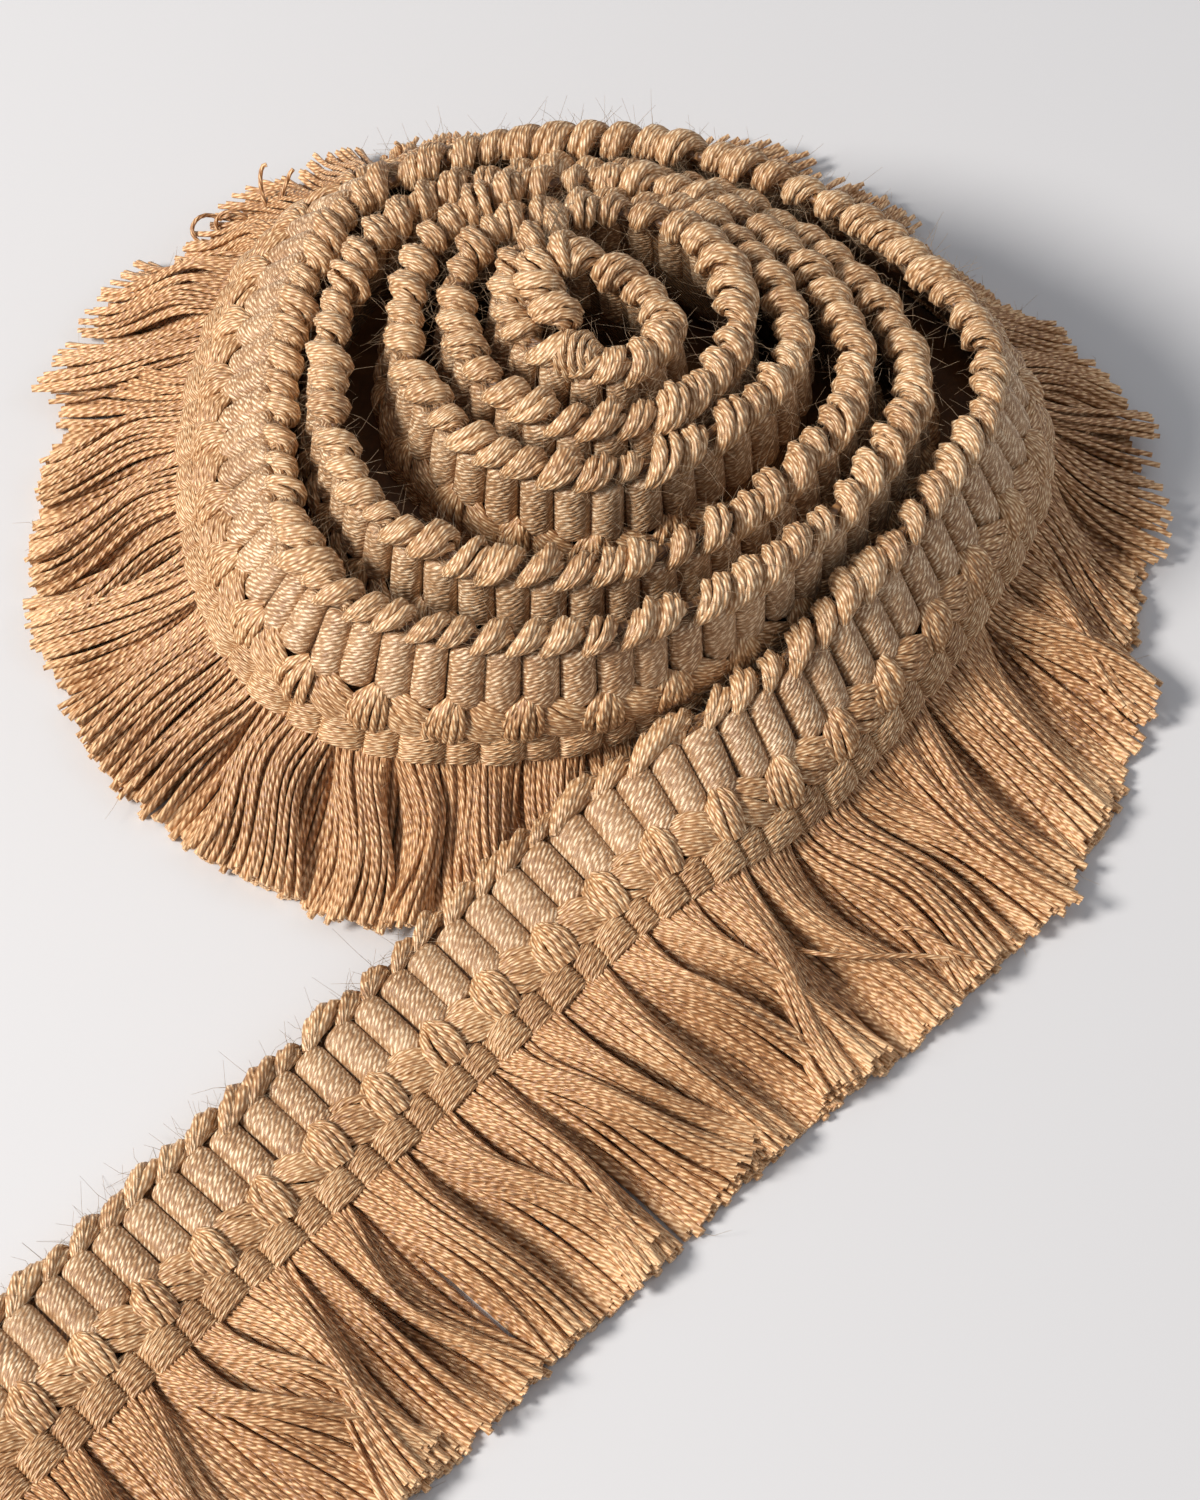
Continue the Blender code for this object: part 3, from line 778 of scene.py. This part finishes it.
def fringe(course, first, last, style, laid, rng):
    """The fringe from rib to rib: it drapes off the heading's edge and out over the table.

    laid holds the locks that stand out, with their place as a run along the trim. It gives the
    yarns' paths, radii and shades.
    """
    locks = max(2, int(round((last - first) / LOCK_RIBS)))
    bounds = np.linspace(first, last, locks + 1) * RIB_PITCH
    bounds[1:-1] += rng.normal(0, LOCK_BOUND_SPREAD * RIB_PITCH * LOCK_RIBS, locks - 1)
    bounds.sort()
    alone, shared = LOCK_SWING_SHARES
    swing = rng.normal(0, LOCK_SWING * style.swing, locks) * alone
    swing += shade_curve(rng, range(locks), LOCK_TOGETHER, LOCK_SWING * shared)
    lift = LOCK_LIFT * style.lift * np.abs(rng.normal(0, LOCK_LIFT_SPREAD, locks))
    longer = np.zeros(locks)
    for lock in laid:
        at = np.searchsorted(bounds, lock.place) - 1
        swing[at], lift[at], longer[at] = lock.swing, lock.lift, lock.longer
    phase = np.cumsum(rng.uniform(*LOCK_WAVE_STEP, locks))
    wave = LOCK_WAVE * style.wave * rng.uniform(*LOCK_WAVE_RANGE, locks)
    draw = LOCK_DRAW * style.draw * rng.uniform(*LOCK_DRAW_RANGE, locks)
    rise = np.abs(rng.normal(0, LOCK_RISE, locks))
    uneven = rng.normal(0, FRINGE_UNEVEN, locks)
    tone = rng.normal(0, LOCK_SHADE, locks)
    s = np.linspace(0.0, 1.0, FRINGE_POINTS)[None, :]
    all_paths, all_sizes, all_shades = [], [], []
    for yarns, height, size, follow in FRINGE_LAYERS:
        count = (last - first) * yarns
        u = (first + (np.arange(count) + 0.5) / yarns) * RIB_PITCH
        lock = np.clip(np.searchsorted(bounds, u) - 1, 0, locks - 1)
        middle = (bounds[lock] + bounds[lock + 1]) / 2
        beside = np.clip((u - middle) / (bounds[lock + 1] - bounds[lock]) * 2, -1, 1)[:, None]
        spots = np.c_[u + rng.normal(0, YARN_ROOT_SPREAD, count), np.full(count, FRINGE_TOP),
                      np.full(count, FRINGE_BACK + height)]
        root = course.wrap(spots)
        turn = course.read(course.sweep, u) + follow * swing[lock]
        turn = np.radians(turn + rng.normal(0, YARN_TURN_SPREAD, count))[:, None]
        ahead = course.read(course.outward, u) * np.cos(turn)
        ahead += course.read(course.along, u) * np.sin(turn)
        side = np.cross(ahead, (0.0, 0.0, 1.0))
        run = course.read(course.reach, u) + (uneven + longer)[lock] * follow
        run += rng.normal(0, YARN_RUN_SPREAD, count)
        tip = root + ahead * (run + HEADING_WIDTH - FRINGE_TOP)[:, None]
        tip[:, 2] = FRINGE_YARN + height * TIP_PRESSED + rise[lock] * follow
        length = np.linalg.norm(tip - root, axis=1, keepdims=True)
        knee = root + course.read(course.down, u) * KNEE * length
        knee[:, 2] += height * LAYER_PRESSED
        foot = tip - ahead * FOOT * length + (0.0, 0.0, FOOT_HEIGHT)
        grid = s[..., None]
        paths = bezier(root[:, None], knee[:, None], foot[:, None], tip[:, None], grid)
        # Draw the yarns towards the middle of their lock, wave the lock, let each yarn wander.
        hump = np.sin(math.pi * s * LOCK_HUMP[0]) ** LOCK_HUMP[1]
        drawn = ((middle - u) * draw[lock])[:, None] * follow * hump
        bend = phase[lock, None]
        waved = (np.sin(bend + LOCK_WAVE_TURN * s) - np.sin(bend)) * s**0.5
        waved *= (wave[lock] * follow)[:, None]
        own = rng.normal(0, YARN_WANDER, (count, 1))
        own = own * np.sin(rng.uniform(0, TAU, (count, 1)) + YARN_WANDER_TURN * s) * s
        # side points against the trim's run, so what is ahead of its lock's middle moves along it.
        paths += side[:, None] * (waved + own - drawn)[..., None]
        paths[..., 2] += lift[lock, None] * follow * np.sin(math.pi * s**0.9) ** 2
        paths[..., 2] += LOCK_DOME * follow * (1 - beside**2) * hump
        paths[..., 2] += rng.normal(0, YARN_RISE, (count, 1)) * s**0.5
        paths[..., 2] = np.maximum(paths[..., 2], FRINGE_YARN + height * LAYER_PRESSED)
        all_paths.append(paths)
        all_sizes.append(np.full((count, 1), FRINGE_YARN * size))
        # Lower layers are darker: painted shade under the yarns above them.
        shades = rng.uniform(0.0, FRINGE_SHADE, count) + FRINGE_TOP_PAINTED_LIGHT * follow
        all_shades.append(shades + tone[lock])
    shades = np.clip(np.concatenate(all_shades), 0, 1)
    return np.concatenate(all_paths), np.concatenate(all_sizes), shades


# The base tape behind the ribs, painted dark as shade by its finish.
TAPE_FRONT = 0.15
TAPE_BACK = -0.75
TAPE_STEP = 2.1
TAPE_ACROSS = 7
GROUND_THREAD = 0.6  # from one of its threads to the next


def base_tape(course, finish):
    """The woven ground that carries the ribs, one closed band as long as the trim."""
    places = np.arange(0.0, course.total + TAPE_STEP / 2, TAPE_STEP)
    places[-1] = course.total
    across = np.linspace(0.0, HEADING_WIDTH, TAPE_ACROSS)
    ring = [(v, TAPE_FRONT) for v in across] + [(v, TAPE_BACK) for v in across[::-1]]
    flat = np.array([(u, v, w) for u in places for v, w in ring])
    points = course.wrap(flat)
    points[:, 2] = np.maximum(points[:, 2], FLOOR_GAP)
    made = ring_solid("heading_tape", points, len(ring), finish)
    lay = np.c_[flat[:, 0], flat[:, 1] / GROUND_THREAD, np.zeros(len(flat))]
    made.data.attributes.new("lay", "FLOAT_VECTOR", "POINT").data.foreach_set("vector", lay.ravel())
    return made


# The imported inner fringe, a mass under the turns painted dark as shade: rings as shares of the
# # outer turn's size.
CORE_AROUND = 72
CORE_DOWN = 15.0  # down the outer turn's band, and behind it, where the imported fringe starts
CORE_BEHIND = -1.7
CORE_FOOT = 0.2
CORE_RINGS = ((0.92, 10.0), (0.78, 10.5), (0.6, 12.0), (0.45, 13.5), (0.3, 15.5), (0.14, 17.2))


def packed_core(course, finish):
    """A closed mound inside the outer turn, from the table up to the inner turns."""
    bearings = np.linspace(-90, 270, CORE_AROUND, endpoint=False)
    runs = np.array([course.at_bearing(b) for b in bearings])
    spots = np.c_[runs, np.full(CORE_AROUND, CORE_DOWN), np.full(CORE_AROUND, CORE_BEHIND)]
    inner = course.wrap(spots)
    flat = inner[:, :2]
    foot = flat * (FOOT_RADIUS / np.linalg.norm(flat, axis=1))[:, None]
    rings = [np.c_[foot, np.full(CORE_AROUND, CORE_FOOT)], inner]
    rings += [np.c_[flat * share, np.full(CORE_AROUND, top)] for share, top in CORE_RINGS]
    return ring_solid("packed_fringe", np.concatenate(rings), CORE_AROUND, finish)


# The knob where the wound end's yarns are rolled up, at the middle of the roll.
KNOB_PLACE = (-3.9, -0.9, 33.2)
KNOB_RADIUS = 2.7
KNOB_WRAPS = 7
KNOB_YARN = 0.42
KNOB_LEAN = (0.35, -0.6, 0.3)
KNOB_POINTS = 110
KNOB_FROM = 8  # degrees from its pole
KNOB_COVER = 150
KNOB_CLOSER = 0.8  # wraps lie closer towards the end
KNOB_LUMPS = 0.07
KNOB_LUMP_TURN = 5.3
KNOB_SHADE = 0.6


def end_knob():
    """One yarn wound down a lumpy ball from its pole."""
    t = np.linspace(0.0, 1.0, KNOB_POINTS)
    down = np.radians(KNOB_FROM + KNOB_COVER * t)
    turn = TAU * KNOB_WRAPS * t**KNOB_CLOSER
    up = Vector(KNOB_LEAN).normalized()
    across = up.orthogonal().normalized()
    beyond = up.cross(across)
    ball = np.outer(np.cos(down), up)
    ball += np.outer(np.sin(down) * np.cos(turn), across)
    ball += np.outer(np.sin(down) * np.sin(turn), beyond)
    ball *= (1 + KNOB_LUMPS * np.sin(KNOB_LUMP_TURN * turn))[:, None]
    return np.array([KNOB_PLACE + ball * KNOB_RADIUS])


# Single yarns that stick out of the fringe, from their root to their cut end.
STRAYS = (
    ((-0.7, 56.0, 2.0), (0.1, 58.5, 4.5), (0.8, 60.4, 6.5), (1.9, 61.8, 8.5), (3.1, 61.8, 9.5)),
    ((-0.5, 55.0, 2.0), (0.6, 57.8, 5.0), (2.7, 58.5, 7.5), (3.8, 58.6, 9.0), (4.7, 58.5, 10.0)),
    ((-4.9, 62.5, 1.5), (-4.3, 63.8, 3.5), (-3.0, 62.8, 4.7), (-1.8, 61.0, 4.2), (-1.9, 59.0, 2.0)),
    ((-7.0, 60.5, 1.5), (-8.0, 63.6, 2.8), (-7.4, 64.9, 3.7), (-5.6, 65.2, 4.0), (-3.4, 64.0, 2.5)),
    ((-6.5, 57.0, 2.0), (-9.4, 59.8, 3.0), (-10.4, 60.6, 3.0), (-11.4, 61.4, 3.0),
     (-11.9, 62.2, 3.5)),
    ((16.5, 51.0, 2.0), (17.1, 52.7, 4.0), (17.2, 52.4, 7.0), (17.2, 52.2, 9.0),
     (16.8, 52.7, 10.0)),
    ((18.0, 51.0, 2.0), (18.6, 52.8, 4.0), (19.8, 52.6, 6.2), (20.4, 51.2, 5.4), (20.7, 50.0, 2.5)),
    ((-29.5, -61.0, 4.5), (-28.4, -64.8, 6.4), (-25.2, -68.2, 6.3), (-22.0, -71.0, 6.0),
     (-19.0, -74.2, 5.4)),
    ((-19.0, -67.0, 3.0), (-17.9, -69.9, 4.2), (-17.0, -73.5, 4.0), (-16.3, -75.2, 3.6),
     (-15.4, -77.6, 3.0)),
    ((42.0, -34.0, 2.0), (43.4, -35.2, 2.4), (44.8, -36.0, 3.0), (46.0, -36.6, 3.8),
     (47.8, -37.2, 5.0)),
)
STRAY_YARN = 0.3
STRAY_SHADE = 0.5


def stray_yarns():
    """The strays with a smooth course through their points."""
    knots = np.linspace(0.0, 1.0, len(STRAYS[0]))
    t = np.linspace(0.0, 1.0, FRINGE_POINTS)
    fits = [np.polyfit(knots, np.array(stray), 4) for stray in STRAYS]
    return np.array([np.stack([np.polyval(c, t) for c in fit.T], axis=-1) for fit in fits])


# A tuft of loose fibres on the inmost turn but one, from its foot to its tip.
TUFT = ((5.3, 13.4, 33.5), (6.0, 13.6, 35.5), (7.2, 12.9, 37.5), (8.0, 12.6, 39.2))
TUFT_FIBRES = 26
TUFT_SPREAD = 0.75
TUFT_BULGE = (0.35, 0.75, 0.25)  # how wide it is at its foot, and wider by its middle and its tip


def tuft(rng):
    """Fibres along one curve that spread in the middle and a little at the tip."""
    knots = np.array(TUFT)
    s = np.linspace(0, 1, FUZZ_POINTS)[:, None]
    middle = bezier(*knots, s)
    spread = rng.normal(0, TUFT_SPREAD, (TUFT_FIBRES, 1, 3))
    narrow, bulge, open_end = TUFT_BULGE
    return middle + spread * (narrow + bulge * np.sin(math.pi * s) + open_end * s)


# Fuzz: single fibres that stand off the yarns.
FUZZ_RADIUS = 0.024
FUZZ_POINTS = 3
FUZZ_STRAY = 0.55  # how far a fibre's way strays from straight out
FUZZ_RISE = 0.2
FUZZ_CURL = 0.6  # share of a fibre's length
# Loose fibres are pale: painted light for light shining through the thin fibres.
FUZZ_SHADE = 0.85
FUZZ_TAPER = (1.2, 0.6)  # how thick it is at its root and at its tip
FUZZ_ROOT = 0.8  # where it starts on the loops' yarns, as a share of their radius
FUZZ_OFF_FRINGE = (0.0, 0.0, 0.8)
# How many fibres stand on the loops and on the fringe, and the shortest and longest in mm.
Fuzz = namedtuple("Fuzz", "count low high")
EDGE_FUZZ = Fuzz(10400, 0.7, 2.6)
FRINGE_FUZZ = Fuzz(3700, 0.6, 2.2)


def fuzz(spots, out, kind, rng):
    """Curled fibres of uneven length in mm that start at the given places and stand mostly out."""
    count = len(spots)
    way = out + rng.normal(0, FUZZ_STRAY, (count, 3)) + (0, 0, FUZZ_RISE)
    way /= np.linalg.norm(way, axis=1, keepdims=True)
    curl = rng.normal(0, 1, (count, 3))
    reach = rng.uniform(kind.low, kind.high, (count, 1))
    s = np.linspace(0, 1, FUZZ_POINTS)[None, :, None]
    return spots[:, None] + (way * reach)[:, None] * s + (curl * reach * FUZZ_CURL)[:, None] * s**2


def edge_fuzz(edge, rng):
    """Fibres on some points of the loops' yarns, which stand away from their bundle's middle."""
    bundles = edge.reshape(-1, LOOP_YARNS, *edge.shape[1:])
    out = bundles - bundles.mean(axis=1, keepdims=True)
    out /= np.linalg.norm(out, axis=3, keepdims=True) + 0.01
    spots = (bundles + out * LOOP_YARN * FUZZ_ROOT).reshape(-1, 3)
    chosen = rng.permutation(len(spots))[: EDGE_FUZZ.count]
    return fuzz(spots[chosen], out.reshape(-1, 3)[chosen], EDGE_FUZZ, rng)


def fringe_fuzz(yarns, rng):
    """Fibres on some points of the fringe's yarns, which stand up."""
    spots = rng.permutation(yarns.reshape(-1, 3))[: FRINGE_FUZZ.count]
    return fuzz(spots, FUZZ_OFF_FRINGE, FRINGE_FUZZ, rng)


# The trim's pieces.
CUT_END_FROM = 0.84  # where a fringe yarn's cut end starts, painted paler as light shining through it, as a share of its length
CUT_END_FADE = 7
YARN_TREE = yarn_tree()
REPEAT_TREE = repeat_tree()
COURSE = Course()
RIBS = int(COURSE.total / RIB_PITCH)
CUT_RIB = int(round(COURSE.at_along(CUT_ALONG) / RIB_PITCH))
END_RIB = int(COURSE.at_bearing(FRINGE_END) / RIB_PITCH)
STITCHED = int(COURSE.at_bearing(270, turn=2) / RIB_PITCH)

# Dark, middle and light of each finish.
RIB_FINISH = yarn_material(
    "mercerised weft on the ribs", ("#6c4528", "#b1875e", "#f8dfbc"), RIB_TWIST, from_threads=True
)
LOOP_FINISH = yarn_material("plied viscose loops", ("#7e512d", "#c09467", "#fadfb8"), LOOP_TWIST)
STITCH_FINISH = yarn_material(
    "plied viscose stitches", ("#784c29", "#ba8b5d", "#f6d8ad"), STITCH_TWIST
)
FRINGE_FINISH = yarn_material("cut viscose fringe", ("#6c4120", "#b17e50", "#f2cb9c"), FRINGE_TWIST)
# Paler tones for loose fibres: painted light for light shining through them.
FIBRE_FINISH = yarn_material("loose viscose fibre", ("#a9825a", "#dcb68c", "#fbe9cf"), FRINGE_TWIST)
# Painted shade: the ground between the ribs and the packed core under the turns get dark tones.
PAINTED_SHADE_FINISH = yarn_material(
    "woven ground in painted shade", ("#3a2413", "#6b4829", "#9c7246"), RIB_TWIST, from_threads=True
)

rng = np.random.default_rng(4)
tape = base_tape(COURSE, PAINTED_SHADE_FINISH)
core = packed_core(COURSE, PAINTED_SHADE_FINISH)
ribs = heading_ribs(COURSE, RIBS, RIB_FINISH)
flat, thick, shade = edge_loops(loop_sizes(COURSE, RIBS, rng), CUT_RIB, rng)
edge = COURSE.wrap(flat)
loops = make_yarns("edge_loops", edge, thick, shade, LOOP_FINISH, sides=5)
flat, thick, shade = leaf_stitches(STITCHED, rng)
leaves = make_yarns("leaf_stitches", COURSE.wrap(flat), thick, shade, STITCH_FINISH, sides=5)
flat, thick, shade = square_stitches(STITCHED, rng)
squares = make_yarns("square_stitches", COURSE.wrap(flat), thick, shade, STITCH_FINISH, sides=4)
knob = make_yarns("end_knob", end_knob(), KNOB_YARN, KNOB_SHADE, LOOP_FINISH, sides=6)
TIP = np.clip((np.linspace(0, 1, FRINGE_POINTS) - CUT_END_FROM) * CUT_END_FADE, 0, 1)
# Yarns open towards their cut ends, more so round the roll.
FLUFFED = np.linspace(0.95, 1.1, FRINGE_POINTS)
FANNED = np.linspace(0.95, 1.2, FRINGE_POINTS)
TAIL_LAID = [lock._replace(place=COURSE.at_along(lock.place)) for lock in TAIL_LOCKS]
ROLL_LAID = [lock._replace(place=COURSE.at_bearing(lock.place)) for lock in ROLL_LOCKS]
laid, thick, shade = fringe(COURSE, 0, CUT_RIB, TAIL_STYLE, TAIL_LAID, rng)
tail = make_yarns("tail_fringe_yarns", laid, thick * FLUFFED, shade, FRINGE_FINISH, sides=4, tip=TIP)
hung, thick, shade = fringe(COURSE, CUT_RIB, END_RIB, ROLL_STYLE, ROLL_LAID, rng)
roll = make_yarns("roll_fringe_yarns", hung, thick * FANNED, shade, FRINGE_FINISH, sides=4, tip=TIP)
strays = make_yarns(
    "stray_yarns", stray_yarns(), STRAY_YARN, STRAY_SHADE, FRINGE_FINISH, sides=5, tip=TIP
)
loose = [edge_fuzz(edge, rng), fringe_fuzz(np.concatenate([laid, hung]), rng), tuft(rng)]
taper = FUZZ_RADIUS * np.linspace(*FUZZ_TAPER, FUZZ_POINTS)
fibres = make_yarns(
    "loose_fibres", np.concatenate(loose), taper, FUZZ_SHADE, FIBRE_FINISH, sides=3
)

for piece in (tape, core, ribs, loops, leaves, squares, knob, tail, roll, strays, fibres):
    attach(piece, "root")
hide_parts("roll", "tail_heading")
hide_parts("tail_fringe")
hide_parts("roll_fringe")

# The table, the light and the camera.
FLOOR_REACH = 3.0


def floor():
    """The pale table top, well past the camera's view."""
    material = bpy.data.materials.new("white painted board")
    material.use_nodes = True
    shader = material.node_tree.nodes["Principled BSDF"]
    shader.inputs["Base Color"].default_value = linear("#cdcdcf")
    shader.inputs["Roughness"].default_value = 0.9
    r = FLOOR_REACH
    mesh = bpy.data.meshes.new("table")
    mesh.from_pydata([(-r, -r, 0), (r, -r, 0), (r, r, 0), (-r, r, 0)], [], [(0, 1, 2, 3)])
    mesh.materials.append(material)
    made = bpy.data.objects.new("table", mesh)
    bpy.context.scene.collection.objects.link(made)


def area_light(name, place, target, size, power, colour):
    """A soft round light that faces the target."""
    data = bpy.data.lights.new(name, "AREA")
    data.shape = "DISK"
    data.size = size
    data.energy = power
    data.color = linear(colour)[:3]
    lamp = bpy.data.objects.new(name, data)
    lamp.location = place
    aim = Vector(target) - Vector(place)
    lamp.rotation_euler = aim.to_track_quat("-Z", "Y").to_euler()
    bpy.context.scene.collection.objects.link(lamp)


floor()
area_light("window", (-0.84, 0.42, 0.74), (-0.02, -0.02, 0.01), 0.36, 20.0, "#fffaf4")
area_light("bounce", (0.55, -0.45, 0.55), (0.0, 0.0, 0.02), 0.6, 1.0, "#f3f6ff")
world = bpy.data.worlds.new("pale room")
world.use_nodes = True
world.node_tree.nodes["Background"].inputs["Color"].default_value = linear("#f2f4f8")
world.node_tree.nodes["Background"].inputs["Strength"].default_value = 0.4
bpy.context.scene.world = world

# The default view transform would grey the yarn's colours.
bpy.context.scene.view_settings.view_transform = "Standard"

CAMERA_PLACE = Vector((-178.9, -179.7, 349.4)) * MM
CAMERA_TARGET = Vector((-24.55, -25.33, 0.0)) * MM
lens = bpy.data.cameras.new("camera")
lens.lens = 85
lens.sensor_fit = "VERTICAL"
lens.sensor_height = 36
lens.clip_start = 0.01
camera = bpy.data.objects.new("camera", lens)
camera.location = CAMERA_PLACE
camera.rotation_euler = (CAMERA_TARGET - CAMERA_PLACE).to_track_quat("-Z", "Y").to_euler()
bpy.context.scene.collection.objects.link(camera)
bpy.context.scene.camera = camera
